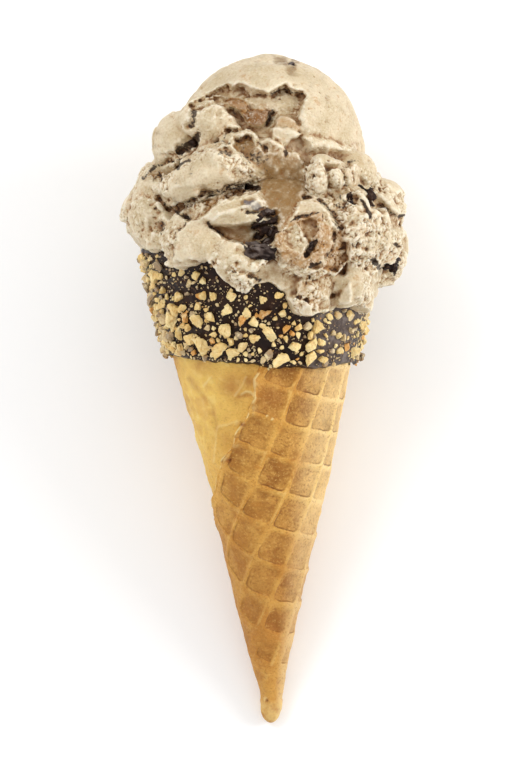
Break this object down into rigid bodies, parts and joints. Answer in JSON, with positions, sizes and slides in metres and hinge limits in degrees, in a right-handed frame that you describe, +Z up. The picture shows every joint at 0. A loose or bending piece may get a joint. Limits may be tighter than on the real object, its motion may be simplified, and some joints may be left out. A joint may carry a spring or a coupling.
{
  "type": "ice cream cone",
  "caption": "Two scoops of pale ice cream in a rolled waffle cone with a chocolate and chopped nut rim, lying on its side.",
  "frame": {"origin": "on the floor that the cone lies on, under the middle of its box", "axes": "+Y from the cone's tip to the scoops, +Z up through the side that shows, +X to the right of the cone seen from above with the scoops away"},
  "size_m": [0.0906, 0.2062, 0.0867],
  "materials": {
    "waffle": "baked, pale ridges and darker hollows",
    "nutty_chocolate": "set chocolate covered with chopped nuts",
    "ice_cream": "soft and crumbly, moist in the smooth places",
    "chocolate": "broken, smooth faces with a grey bloom"
  },
  "bodies": {
    "root": {"waffle_cone": "waffle", "chocolate_dip": "nutty_chocolate", "bottom_scoop": "ice_cream", "top_scoop": "ice_cream", "chocolate_chunk_1": "chocolate", "chocolate_chunk_2": "chocolate", "chocolate_chunk_3": "chocolate", "chocolate_chunk_4": "chocolate", "chocolate_chunk_5": "chocolate", "chocolate_chunk_6": "chocolate", "chocolate_chunk_7": "chocolate", "chocolate_chunk_8": "chocolate", "chocolate_chunk_9": "chocolate", "chocolate_chunk_10": "chocolate", "chocolate_chunk_11": "chocolate", "chocolate_chunk_12": "chocolate", "chocolate_chunk_13": "chocolate"}
  },
  "joints": []
}
